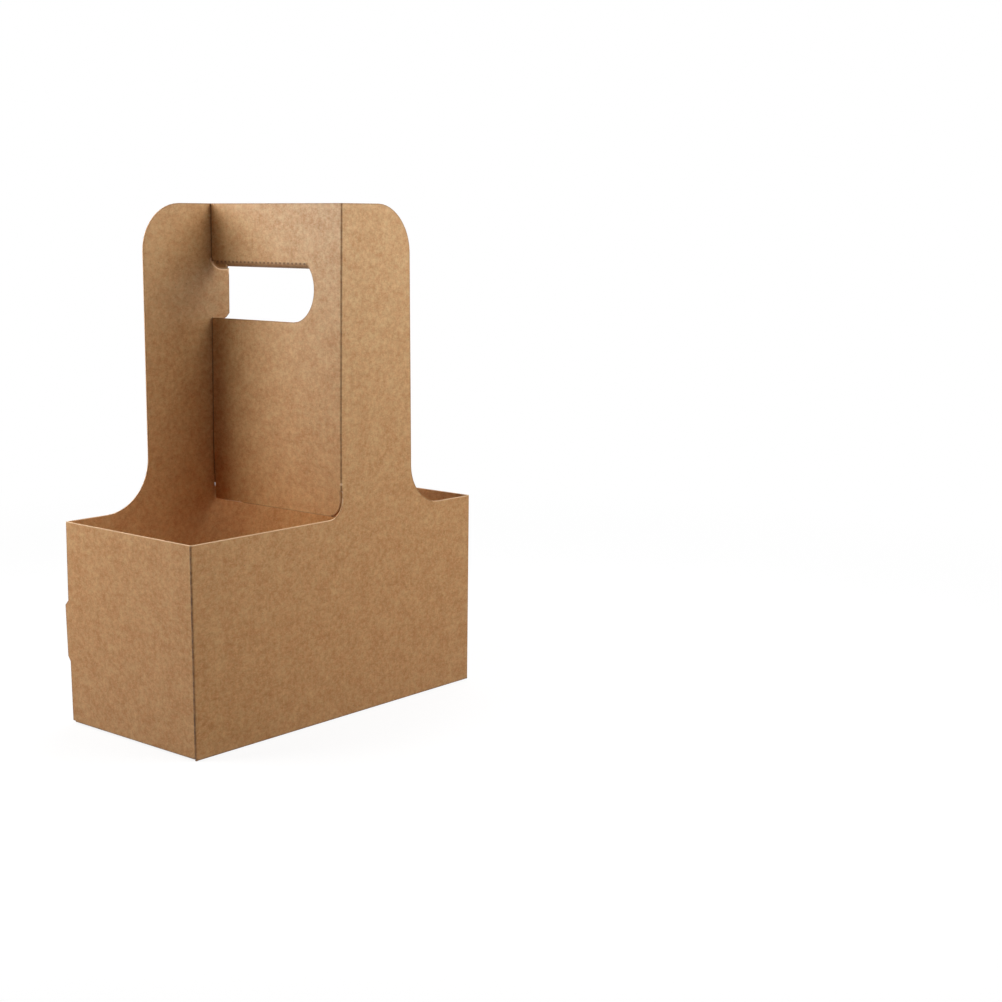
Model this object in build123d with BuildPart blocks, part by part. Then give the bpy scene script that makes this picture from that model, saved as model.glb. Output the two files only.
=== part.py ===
from build123d import *
import os
from math import radians

# Two-cup carrier of kraft board, die-cut from one sheet, folded and glued.
# Millimetres. The origin is the middle of the underside, +X to the right end,
# +Y to the back, +Z up. The front is the long wall at -Y.

# Board
board = 0.5                 # thickness of the sheet
fold_inside = 0.25          # radius inside every fold
glue_press = 0.02           # glued faces are pressed together by this much

# Box
box_length = 180.0
box_width = 88.5
box_height = 95.5           # floor to rim

# Handle
handle_height = 240.0       # floor to the handle's top edge
front_wing = 47.0           # centre of the box to the front wing's free edge
back_wing = 42.0            # centre of the box to the back wing's free edge
wing_corner = 22.7          # radius of the wings' top corners
front_foot = 20.0           # radius where the front wing runs out into the rim
back_foot = 25.0            # radius where the back wing runs out into the rim
rim_rise = 8.0              # radius of the rim where it climbs to a wing's fold
slit_height = 12.5          # the slit under each wing's fold, above the rim
layer_gap = 0.6             # free edge of a centre layer to the wall that it faces

# Hand hole through both centre layers
hinge_drop = 27.7           # handle's top edge down to the hole's hinge line
grip_height = 27.3          # hinge line down to the hole's lower edge
grip_reach = 27.5           # centre of the box to the hole's round front end
grip_crown = 15.4           # the round end's furthest point, above the lower edge
low_setback = 11.0          # the round end's lower corner, behind that point
high_setback = 5.1          # the round end's upper corner, behind that point
hole_ease = 0.8             # the back layer's hole is this much larger

# Tab that stays in the back wing's plane when the hole is pushed out
tab_reach = 11.0            # from the back fold
tab_drop = 3.6              # hinge line down to the tab's top edge
tab_rise = 4.4              # the cut above the tab climbs this much to the fold
tab_run = 7.0               # and takes this much of the tab's length to do so
tab_corner = 2.6            # cut-off lower corner

# Flap of the hand hole, folded back and up behind the handle
flap_bend = 1.3             # radius inside its hinge
flap_turn = 168.0           # degrees from hanging straight down in the hole
flap_back_gap = 3.0         # free edge of the front layer to the flap's end

# Free edge of the left end wall, with the ear left by the cutter
edge_setback = 0.2          # free edge, in front of the back wall's outer face
ear_low = 29.4
ear_height = 29.0
ear_reach = 2.6             # past the back wall at the ear's top
ear_taper = 0.7             # less than that at its foot
ear_slope = 2.4             # height of its sloping ends

# Glue flap of the back wall, inside the left end wall
glue_width = 15.0
glue_margin = 3.0           # below the rim, and above the base flaps
glue_slope = 8.0            # cut-off at its ends

# Base: long flaps whose tongues lock over each other, with end flaps inside on top
flap_margin = 1.5           # end of a flap to the inside of the wall beside it
end_flap = 42.0             # length of the end flaps
end_flap_slope = 14.0       # each end flap narrows by this much at each side
tongue_margin = 2.0         # end of an end flap to the tongues
tongue_depth = 9.0          # each tongue passes the middle by this much
tongue_climb = 5.0          # length of an upper tongue's slope
tongue_run = 1.5            # an upper tongue is level this far before the other flap
tongue_gap = 0.1            # between a tongue and the one that it lies on
tongue_slit = 0.4           # between edges that are side by side
tongue_round = 4.0          # radius of the tongues' corners
lock_place = 12.0           # where the tongues change places, right of the middle

half_length = box_length / 2
half_width = box_width / 2
fold_outside = fold_inside + board
fold_middle = fold_inside + board / 2
flap_side = half_width - board - flap_margin
flap_end = half_length - board - flap_margin
tongue_end = half_length - end_flap - tongue_margin
slit_top = box_height + slit_height
hinge = handle_height - hinge_drop
grip_low = hinge - grip_height
layer_end = half_width - board - layer_gap


def long_side(far_end, wing, foot):
    """A long wall with its wing, its share of the centre panel and its lower fold.

    It is drawn in front, at -Y, with the wing on the +X side. The wall runs from
    the left corner fold to far_end. The layer of the centre panel is on the -X
    side of the middle.
    """
    near_end = fold_outside - half_length
    with BuildPart() as side:
        with BuildSketch(Plane.XZ.offset(half_width)):
            with BuildLine():
                Line((near_end, fold_outside), (far_end, fold_outside))
                Line((far_end, fold_outside), (far_end, box_height))
                Line((far_end, box_height), (wing + foot, box_height))
                CenterArc((wing + foot, box_height + foot), foot, 270, -90)
                Line((wing, box_height + foot), (wing, handle_height - wing_corner))
                CenterArc((wing - wing_corner, handle_height - wing_corner), wing_corner, 0, 90)
                Line((wing - wing_corner, handle_height), (fold_inside, handle_height))
                Line((fold_inside, handle_height), (fold_inside, box_height + rim_rise))
                CenterArc((fold_inside - rim_rise, box_height + rim_rise), rim_rise, 0, -90)
                Line((fold_inside - rim_rise, box_height), (near_end, box_height))
                Line((near_end, box_height), (near_end, fold_outside))
            make_face()
        extrude(amount=-board)

        # The fold between the wing and the centre layer, above its slit
        with BuildSketch(Plane.XY.offset(slit_top)):
            with BuildLine():
                CenterArc((fold_inside, fold_outside - half_width), fold_middle, 180, 90)
            trace(line_width=board)
        extrude(amount=handle_height - slit_top)

        # The layer's lower corner is the other side of the cut that shapes the rim
        fold_line = fold_outside - half_width
        with BuildSketch(Plane.YZ.offset(-board)):
            with BuildLine():
                Line((fold_line, handle_height), (fold_line, box_height + rim_rise))
                CenterArc((fold_line + rim_rise, box_height + rim_rise), rim_rise, 180, 90)
                Line((fold_line + rim_rise, box_height), (layer_end, box_height))
                Line((layer_end, box_height), (layer_end, handle_height))
                Line((layer_end, handle_height), (fold_line, handle_height))
            make_face()
        extrude(amount=board)

        # The fold to the long flap of the base
        with BuildSketch(Plane.YZ.offset(near_end)):
            with BuildLine():
                CenterArc((fold_outside - half_width, fold_outside), fold_middle, 180, 90)
            trace(line_width=board)
        extrude(amount=far_end - near_end)
    return side.part


def hole_outline(back_end, ease):
    """Hand hole in the YZ plane, open to back_end and larger by ease below and in front."""
    low = grip_low - ease
    front = -grip_reach - ease
    low_corner = (front + low_setback, low)
    high_corner = (front + high_setback, hinge)
    with BuildSketch() as outline:
        with BuildLine():
            Polyline(high_corner, (back_end, hinge), (back_end, low), low_corner)
            ThreePointArc(low_corner, (front, grip_low + grip_crown), high_corner)
        make_face()
    return outline.sketch


def tab_outline():
    """The back layer's tab, drawn against its distance from the fold.

    The cut above it climbs to the fold.
    """
    low = grip_low - hole_ease
    top = hinge - tab_drop
    with BuildSketch() as outline:
        with BuildLine():
            Line((-fold_inside, low), (tab_reach, low))
            Line((tab_reach, low), (tab_reach, top))
            Line((tab_reach, top), (tab_run, top))
            TangentArc((tab_run, top), (-fold_inside, top + tab_rise), tangent=(-1, 0))
            Line((-fold_inside, top + tab_rise), (-fold_inside, low))
        make_face()
    return outline.sketch


def folded_flap(inside, thickness, low_end, high_end):
    """Flap of the hand hole from low_end to high_end along Y, bent back about the hinge.

    It hangs from the layers at the hinge and stands up behind them. Its round front
    end is the hole's round end, turned over with it.
    """
    leg = grip_height - radians(flap_turn) * (flap_bend + board)
    bend_floor = hinge - flap_bend - 3 * board
    front_corner = high_setback - grip_reach
    top_corner = low_setback - grip_reach
    with BuildPart() as flap:
        with BuildSketch(Plane.XZ.offset(-high_end)):
            with BuildLine():
                bend = CenterArc((board + flap_bend, hinge), inside + thickness / 2, 180, flap_turn)
                Line(bend @ 1, (bend @ 1) + (bend % 1) * leg)
            trace(line_width=thickness)
        extrude(amount=high_end - low_end)
        with BuildSketch(Plane.YZ.offset(-2 * board)):
            with BuildLine():
                Polyline(
                    (front_corner, hinge),
                    (front_corner, bend_floor),
                    (high_end, bend_floor),
                    (high_end, handle_height),
                    (top_corner, handle_height),
                    (top_corner, hinge + leg),
                )
                ThreePointArc(
                    (top_corner, hinge + leg),
                    (-grip_reach, hinge + leg - grip_crown),
                    (front_corner, hinge),
                )
            make_face()
        extrude(amount=grip_height, mode=Mode.INTERSECT)
    return flap.part


def base_flap(crossing):
    """Long flap of the base, drawn in front, for tongues that change places at crossing.

    To the left of the crossing its tongue lies flat, under the other flap's tongue.
    To the right its tongue climbs over the other flap's edge.
    """
    fold_line = fold_outside - half_width
    climb_foot = -tongue_depth - tongue_run - tongue_climb
    middle = tongue_slit / 2
    with BuildPart() as flap:
        with BuildSketch() as flat:
            with BuildLine():
                Polyline(
                    (-flap_end, fold_line),
                    (flap_end, fold_line),
                    (flap_end, -middle),
                    (tongue_end + middle, -middle),
                    (tongue_end + middle, climb_foot),
                    (crossing - middle, climb_foot),
                    (crossing - middle, tongue_depth),
                    (-tongue_end, tongue_depth),
                    (-tongue_end, -middle),
                    (-flap_end, -middle),
                    close=True,
                )
            make_face()
            fillet(flat.vertices().group_by(Axis.Y)[-1], radius=tongue_round)
        extrude(amount=board)
        add(upper_tongue(crossing + middle, tongue_end - middle, climb_foot))
    return flap.part


def upper_tongue(left_end, right_end, climb_foot):
    """Tongue of a long flap from left_end to right_end, level again above the other flap."""
    low = board / 2
    high = low + board + tongue_gap
    with BuildPart() as tongue:
        with BuildSketch(Plane.YZ.offset(left_end)):
            with BuildLine():
                Polyline(
                    (climb_foot - board, low),
                    (climb_foot, low),
                    (climb_foot + tongue_climb, high),
                    (tongue_depth, high),
                )
            trace(line_width=board)
        extrude(amount=right_end - left_end)
        fillet(tongue.edges().filter_by(Axis.Z).group_by(Axis.Y)[-1], radius=tongue_round)
    return tongue.part


def end_side(free_edge):
    """An end wall drawn on the left, from the front corner fold to its free edge's points.

    Its flap lies inside the box on top of the long flaps, so its lower fold is one
    board higher than theirs.
    """
    front = fold_outside - half_width
    foot = board + fold_outside - glue_press
    with BuildPart() as side:
        with BuildSketch(Plane.YZ.offset(-half_length)):
            with BuildLine():
                Polyline((front, foot), *free_edge, (front, box_height), close=True)
            make_face()
        extrude(amount=board)
        with BuildSketch(Plane.XZ.offset(-flap_side)):
            with BuildLine():
                CenterArc((fold_outside - half_length, foot), fold_middle, 180, 90)
            trace(line_width=board)
        extrude(amount=2 * flap_side)
        with BuildSketch(Plane.XY.offset(board - glue_press)):
            with BuildLine():
                Polyline(
                    (fold_outside - half_length, -flap_side),
                    (end_flap - half_length, end_flap_slope - flap_side),
                    (end_flap - half_length, flap_side - end_flap_slope),
                    (fold_outside - half_length, flap_side),
                    close=True,
                )
            make_face()
        extrude(amount=board)
    return side.part


# Long walls. The back one is the same form turned half a turn, and it stops one
# board short at the left, where its glue flap goes inside the end wall.
wall_foot = board + fold_outside - glue_press
front = long_side(half_length - fold_outside, front_wing, front_foot)
back = long_side(half_length - board - fold_outside + glue_press, back_wing, back_foot)

# End walls. The left one has the free edge of the sheet at the back.
free = half_width - edge_setback
ear_top = ear_low + ear_height
right_edge = [(half_width - fold_outside, wall_foot), (half_width - fold_outside, box_height)]
left_edge = [
    (free, wall_foot),
    (free, ear_low),
    (half_width + ear_reach - ear_taper, ear_low + ear_slope),
    (half_width + ear_reach, ear_top - ear_slope),
    (free, ear_top),
    (free, box_height),
]
left = end_side(left_edge)
right = mirror(end_side(right_edge), about=Plane.YZ)

with BuildPart() as cup_carrier:
    add(front)
    add(back, rotation=(0, 0, 180))
    add(left)
    add(right)

    # Corner folds that run the whole height: front left, front right, back right
    corner_x = half_length - fold_outside
    corner_y = half_width - fold_outside
    folds = [
        (-corner_x, -corner_y, 180),
        (corner_x, -corner_y, 270),
        (corner_x, corner_y, 0),
    ]
    with BuildSketch():
        for x, y, start in folds:
            with BuildLine():
                CenterArc((x, y), fold_middle, start, 90)
            trace(line_width=board)
    extrude(amount=box_height)

    # Back left corner: the back wall folds forward into the glue flap
    glue_face = board - half_length - glue_press
    glue_foot = 2 * board + glue_margin
    glue_head = box_height - glue_margin
    with BuildSketch(Plane.XY.offset(glue_foot)):
        with BuildLine():
            CenterArc((glue_face + fold_outside, corner_y), fold_middle, 90, 90)
        trace(line_width=board)
    extrude(amount=glue_head - glue_foot)
    with BuildSketch(Plane.YZ.offset(glue_face)):
        with BuildLine():
            Polyline(
                (corner_y, glue_foot),
                (corner_y - glue_width, glue_foot + glue_slope),
                (corner_y - glue_width, glue_head - glue_slope),
                (corner_y, glue_head),
                close=True,
            )
        make_face()
    extrude(amount=board)

    # Long flaps of the base, the back one turned half a turn
    add(base_flap(lock_place))
    add(base_flap(-lock_place), rotation=(0, 0, 180))

    # Hand hole in the front layer, open to that layer's free edge
    with BuildSketch(Plane.YZ.offset(-board)):
        add(hole_outline(layer_end, 0))
    extrude(amount=board, mode=Mode.SUBTRACT)

    # The back layer's hole stops at the tab, which stays in the wing's plane
    back_fold = Plane(origin=(0, half_width - board, 0), x_dir=(0, -1, 0), z_dir=(-1, 0, 0))
    with BuildSketch(Plane.YZ):
        add(hole_outline(half_width - board - tab_reach, hole_ease))
    extrude(amount=board, mode=Mode.SUBTRACT)
    with BuildSketch(back_fold.offset(-board)):
        add(tab_outline())
    extrude(amount=fold_outside, mode=Mode.SUBTRACT)
    with BuildSketch(Plane.XZ.offset(-half_width)) as tab:
        add(tab_outline())
        chamfer(tab.vertices().group_by(Axis.Y)[0].sort_by(Axis.X)[-1], length=tab_corner)
    extrude(amount=board)

    # The flap is both layers in front of the tab, and the front layer alone beside it
    flap_step = half_width - board - tab_reach
    add(folded_flap(flap_bend, 2 * board, -grip_reach, flap_step))
    add(folded_flap(flap_bend + board, board, flap_step, layer_end - flap_back_gap))

os.makedirs("parts", exist_ok=True)
cup_carrier.part.label = "cup_carrier"
export_step(cup_carrier.part, "parts/cup_carrier.step")
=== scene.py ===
import math
import bmesh
import bpy
import numpy as np
from mathutils import Matrix, Vector


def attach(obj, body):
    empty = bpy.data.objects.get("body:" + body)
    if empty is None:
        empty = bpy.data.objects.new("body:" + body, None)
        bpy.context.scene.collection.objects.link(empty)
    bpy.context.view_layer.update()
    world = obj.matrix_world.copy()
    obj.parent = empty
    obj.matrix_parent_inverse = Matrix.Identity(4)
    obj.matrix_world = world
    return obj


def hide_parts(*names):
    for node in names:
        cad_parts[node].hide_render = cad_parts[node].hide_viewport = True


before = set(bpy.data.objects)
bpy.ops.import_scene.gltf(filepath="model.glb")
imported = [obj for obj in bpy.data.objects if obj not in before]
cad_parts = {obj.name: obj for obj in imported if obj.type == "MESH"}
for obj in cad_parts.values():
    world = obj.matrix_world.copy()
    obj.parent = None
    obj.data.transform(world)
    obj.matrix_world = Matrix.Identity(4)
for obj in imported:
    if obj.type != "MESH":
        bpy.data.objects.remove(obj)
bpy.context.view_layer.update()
mm = 0.001
tiny = 1e-6
print("frame loaded")

# The carrier is one sheet. Sizes are in mm, in the row frame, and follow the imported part.
carrier = {
    "board": 0.5,              # thickness of the sheet
    "bend": 0.5,               # radius of the sheet's middle in a fold
    "halfLength": 90.0,
    "halfWidth": 44.25,
    "rim": 95.5,               # top of the box
    "top": 240.0,              # top of the handle
    "wing": (47.0, 42.0),      # centre to the wing's free edge, front and back
    "foot": (20.0, 25.0),      # radius where the wing runs out into the rim
    "wingCorner": 22.7,
    "rimRise": 8.0,            # radius of the rim where it climbs to the wing's fold
    "slitTop": 108.0,
    "layerEnd": 43.15,         # free edge of a centre layer, from the centre
    "layerSeam": 0.26,         # middle of each centre layer, from the centre plane
    "glued": 0.02,             # the glued flap sits this far into the end wall's face
    "step": 3.4,               # size of a face away from folds and cuts
    "otherSide": 40.0,         # the finish of the sheet's other side is taken this far out of the blank
}

handHole = {
    "hinge": 212.3,            # height of the perforated line
    "low": 185.0,
    "reach": 26.8,             # centre to the round end
    "crown": 15.4,             # the round end's furthest point, above the lower edge
    "endRun": 13.4,            # length of the round end, a half ellipse cut off by the hinge
    "ease": 0.8,               # the back layer's hole is this much larger
    "bendInside": 1.3,
    "turn": 168.0,             # degrees that the flap is turned
    "leg": 22.02,              # straight part of the flap
    "flapEnd": 40.15,          # free edge of the front layer's flap
    "tabReach": 11.0,
    "tabTop": 208.7,
    "tabRun": 7.0,
    "tabRise": 4.4,
    "tabCorner": 2.6,
    "lobeTop": 214.0,          # height where the lobe above the tab becomes part of the layer
}

box = {
    "endFoot": 1.23,           # height where the end walls turn into their flaps
    "glueWidth": 15.0,
    "glueMargin": 3.0,
    "glueSlope": 8.0,
    "endFlap": 42.0,           # from the outside of the end wall
    "endFlapSlope": 14.0,
    "flapMargin": 1.5,
    "freeEdge": 44.05,         # left end wall's free edge
    "edgeBulge": 0.5,          # the free edge bows this far back at half height
    "cornerFoot": 0.12,        # the corner folds end this far above the floor
    "ear": ((29.4, 0.0), (31.8, 1.68), (56.0, 2.3), (58.4, 0.0)),   # height, reach past the free edge
    "tongueEnd": 46.0,
    "tongueDepth": 9.0,        # each tongue passes the middle by this much
    "tongueClimb": 5.0,
    "tongueRun": 1.5,
    "tongueGap": 0.1,
    "tongueSlit": 0.4,
    "tongueRound": 4.0,
    "lockPlace": 12.0,         # where the tongues change places
}

# How far folded board bows out of its plane, in mm
bows = {
    "longWall": 0.3,
    "endWall": 0.35,
    "wing": 0.45,
    "panel": 0.3,
    "frontLean": ((70, 95, 135, 240), (0.0, 0.0, 0.3, 2.3)),      # heights, and the front fold's move to +X
    "backLean": ((70, 95, 120, 240), (0.0, -1.2, -1.8, 0.0)),     # the same for the back fold
    "leanReach": 50.0,         # the lean has faded out this far from the centre plane
    "endLean": 1.1,            # the right end wall's foot stands this far in
    "wallBand": (8.0, 1.0),    # a wall's bow sets in between these distances from its corner planes
    "panelBand": (12.0, 4.0),  # the centre panel's bow fades out between these
}


# Even steps from start to end, with closer ones beside both ends, where the sheet is cut or folded.
def graded(start, end, step, near=(0.0, 0.35, 0.9, 1.9)):
    length = abs(end - start)
    if length < 3.2 * near[-1]:
        return np.linspace(start, end, max(2, int(round(length / 1.1)) + 1))
    count = max(2, int(round((length - 2 * near[-1]) / step)) + 1)
    inner = np.linspace(near[-1], length - near[-1], count)
    offsets = np.concatenate([near[:-1], inner, length - np.array(near[:-1])[::-1]])
    return start + offsets * np.sign(end - start)


# Sorted values of several lists together. The first list is kept whole, and others keep clear of it.
def merged(kept, *others, clear=0.25):
    result = list(np.unique(np.round(kept, 5)))
    low, high = result[0], result[-1]
    for values in others:
        for value in values:
            if low < value < high and min(abs(value - r) for r in result) > clear:
                result.append(float(value))
    return np.array(sorted(result))


def lerp(a, b, share):
    return a + (b - a) * share


# 0 below low, 1 above high, and an S curve between: 3t squared less 2t cubed.
def smooth(low, high, value):
    share = np.clip((value - low) / (high - low), 0, 1)
    return share * share * (3 - 2 * share)


sheetBlocks = []


# Adds one block of the sheet: a grid of places in the row frame, the same grid on the flat blank, and
# whether it belongs to the hand hole's flap. turn is -1 for the back side, which is half a turn round.
def addBlock(x, y, z, flatX, flatZ, turn=1, flap=0.0):
    x, y, z, flatX, flatZ = np.broadcast_arrays(x, y, z, flatX, flatZ)
    points = np.stack([x * turn, y * turn, z], axis=-1).astype(float)
    flat = np.stack([flatX, flatZ, 0 * flatX], axis=-1).astype(float)
    sheetBlocks.append((points, flat, 0 * x + flap))


bend = carrier["bend"]
board = carrier["board"]
quarter = bend * math.pi / 2                       # length of a fold on the blank
cornerX = carrier["halfLength"] - board / 2 - bend
cornerY = carrier["halfWidth"] - board / 2 - bend
wallX = cornerX + bend
wallY = cornerY + bend
baseFold = board / 2 + bend                        # centre height of the long walls' lower folds
flapEndX = carrier["halfLength"] - board - box["flapMargin"]
foldAngles = np.linspace(0, math.pi / 2, 7)
layerX = carrier["layerSeam"]
foldX = bend - layerX                              # a wing's fold starts here, just past the centre plane
glueFoldX = carrier["halfLength"] - 1.5 * board - bend + carrier["glued"]
rightFlat = cornerX + quarter                      # the blank runs on from the front wall to the right end
backShift = rightFlat + 2 * cornerY + quarter + cornerX
quarterArcs = np.linspace(0, math.pi / 2, 13)
earHeights = [e[0] for e in box["ear"]]
earBeside = [earHeights[0] - 0.6, earHeights[1] + 0.6, earHeights[2] - 0.6, earHeights[3] + 0.6]
wallRows = merged([box["endFoot"], carrier["rim"], *earHeights],
                  graded(box["endFoot"], carrier["rim"], carrier["step"]), earBeside)


# Front end of the hand hole at a height: an ellipse that leaves the lower edge smoothly.
def holeEnd(height, ease):
    half = handHole["crown"] + ease
    up = np.clip(height, handHole["low"] - ease, handHole["hinge"]) - handHole["low"] - handHole["crown"]
    share = np.sqrt(np.maximum(1 - (up / half) ** 2, 0))
    return handHole["endRun"] * (1 - share) - handHole["reach"] - ease


# Heights of points spread evenly round the hole's front end.
def holeHeights(ease, count=22):
    half, middle = handHole["crown"] + ease, handHole["low"] + handHole["crown"]
    last = math.asin((handHole["hinge"] - middle) / half)
    return middle + half * np.sin(np.linspace(-math.pi / 2, last, count))


# Upper edge of the tab against its distance from the fold: level, then an arc that climbs to the fold.
def tabTop(distance):
    run, rise = handHole["tabRun"], handHole["tabRise"]
    reach = run + board / 2
    radius = (reach ** 2 + rise ** 2) / (2 * rise)
    climb = np.clip(run - distance, 0, reach)
    return handHole["tabTop"] + radius - np.sqrt(radius ** 2 - climb ** 2)


# Heights of the rows that a side needs where its outline curves.
def outlineRows(foot):
    rim, rise, corner, top = carrier["rim"], carrier["rimRise"], carrier["wingCorner"], carrier["top"]
    return [rim + foot - foot * np.cos(quarterArcs), top - corner + corner * np.sin(quarterArcs),
            rim + rise - rise * np.cos(np.linspace(0, math.pi / 2, 7)), graded(rim, top, carrier["step"])]


# Where the rim's climb to the fold has reached at each height, from the fold: a quarter circle.
def rimClimb(z):
    rise = carrier["rimRise"]
    return rise - np.sqrt(np.maximum(rise ** 2 - np.clip(carrier["rim"] + rise - z, 0, rise) ** 2, 0))


# Long wall and wing of one side, in that side's own frame: the wall at -Y and the wing at +X.
# Rows are heights. In the wing, each row runs from the fold to the outline at its height.
def wallAndWing(rows, wing, foot, farEnd, slit, shift, turn):
    rim, corner, top = carrier["rim"], carrier["wingCorner"], carrier["top"]
    stops = [-cornerX, foldX - carrier["rimRise"], wing + foot, farEnd]
    gap = box["tongueSlit"] / 2
    tongue = box["tongueEnd"]
    kept = np.array([-flapEndX, -tongue, slit - gap, slit + gap, tongue - gap, tongue + gap, flapEndX])
    beside = [slit - gap - 0.8, slit + gap + 0.8, -tongue + 0.4, -tongue + 1.2, -tongue + 2.4,
              tongue - 0.6, tongue - 1.4, tongue - 2.6]
    left, middle, right = [
        merged([a, b, *kept[(kept > a) & (kept < b)]], beside, graded(a, b, carrier["step"]), clear=0.2)
        for a, b in zip(stops[:-1], stops[1:])]
    share = (middle - middle[0]) / (middle[-1] - middle[0])
    columns = np.concatenate([left[:-1], middle, right[1:]])
    heights = np.concatenate([[baseFold], wallRows])
    addBlock(columns[None], -wallY, heights[:, None], columns[None] + shift, heights[:, None], turn)

    angles = foldAngles[:, None]
    addBlock(columns[None], -cornerY - bend * np.cos(angles), baseFold - bend * np.sin(angles),
             columns[None] + shift, baseFold - bend * angles, turn)

    z = rows[:, None]
    fromLeft = foldX - rimClimb(z)
    footDrop = np.clip(rim + foot - z, 0, foot)
    cornerRise = np.clip(z - (top - corner), 0, corner)
    toRight = np.where(z < rim + foot, wing + foot - np.sqrt(foot ** 2 - footDrop ** 2),
                       wing - corner + np.sqrt(np.maximum(corner ** 2 - cornerRise ** 2, 0)))
    x = lerp(fromLeft, toRight, share[None])
    addBlock(x, -wallY, z, x + shift, z, turn)
    return columns


# The fold between a wing and its centre layer, a quarter circle at each height.
def wingFold(rows, shift, turn):
    a = foldAngles[None]
    z = rows if np.ndim(rows) == 2 else rows[:, None]
    addBlock(foldX - bend * np.sin(a), -cornerY - bend * np.cos(a), z, foldX - bend * a + shift, z, turn)


# A piece of a centre layer. across gives, for each row, places along Y in the side's own frame.
def layerBlock(across, rows, shift, turn):
    z = rows if np.ndim(rows) == 2 else rows[:, None]
    if np.ndim(across) == 1:
        across = np.tile(across, (len(z), 1))
    addBlock(-layerX, across, z, foldX - quarter - (across + cornerY) + shift, z, turn)


# The hand hole's flap: down round the hinge on a circle, then a straight leg up behind the handle.
# Its round front end is the hole's, at the same distance from the hinge.
def holeFlap(highAcross, near, radius, ease, shift, turn):
    share = (highAcross - highAcross[0]) / (highAcross[-1] - highAcross[0])
    centreX = handHole["bendInside"] + board / 2 + layerX
    hinge, sweep = handHole["hinge"], math.radians(handHole["turn"])
    around = np.linspace(0, sweep, 15)
    bent = sweep * (handHole["bendInside"] + board)
    cuts = hinge - bent - holeHeights(ease)
    onLeg = cuts[(cuts > 0.3) & (cuts < handHole["leg"] - 0.1)]
    leg = merged(graded(0, handHole["leg"], 2.4), onLeg)[1:]
    angle = np.concatenate([around, np.full(len(leg), sweep)])
    along = np.concatenate([np.zeros(len(around)), leg])
    fromHinge = angle * (handHole["bendInside"] + board) + along
    x = turn * (centreX - radius * np.cos(angle) + along * np.sin(angle))
    z = hinge - radius * np.sin(angle) - along * np.cos(angle)
    y = turn * lerp(near, holeEnd(hinge - fromHinge, ease)[:, None], share[None])
    addBlock(x[:, None], y, z[:, None], foldX - quarter - (y + cornerY) + shift,
             (hinge - fromHinge)[:, None], turn, flap=1.0)


# Front side: wall, wing, fold, centre layer with its part of the hole, and that layer's flap.
def frontSide():
    hinge, low, foot = handHole["hinge"], handHole["low"], carrier["foot"][0]
    rim, top, corner = carrier["rim"], carrier["top"], carrier["wingCorner"]
    firsts = [rim, rim + carrier["rimRise"], carrier["slitTop"], rim + foot, low, hinge, top - corner, top]
    rows = merged(firsts, holeHeights(0), *outlineRows(foot), clear=0.11)
    columns = wallAndWing(rows, carrier["wing"][0], foot, cornerX, box["lockPlace"], 0.0, 1)
    wingFold(rows[rows >= carrier["slitTop"] - tiny], 0.0, 1)

    z = rows[:, None]
    end = holeEnd(z, 0)
    share = (graded(-cornerY, end[0, 0], carrier["step"]) + cornerY) / (end[0, 0] + cornerY)
    layerBlock(lerp(rimClimb(z) - cornerY, end, share[None]), rows, 0.0, 1)
    under = rows[rows <= low + tiny]
    over = rows[rows >= hinge - tiny]
    flapEnd, layerEnd = handHole["flapEnd"], carrier["layerEnd"]
    layerBlock(graded(end[0, 0], layerEnd, carrier["step"]), under, 0.0, 1)
    highAcross = graded(flapEnd, end[-1, 0], carrier["step"])
    layerBlock(highAcross, over, 0.0, 1)
    layerBlock(np.linspace(flapEnd, layerEnd, 3), over, 0.0, 1)
    holeFlap(highAcross, flapEnd, handHole["bendInside"] + board / 2 + 2 * layerX, 0, 0.0, 1)
    return columns


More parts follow.
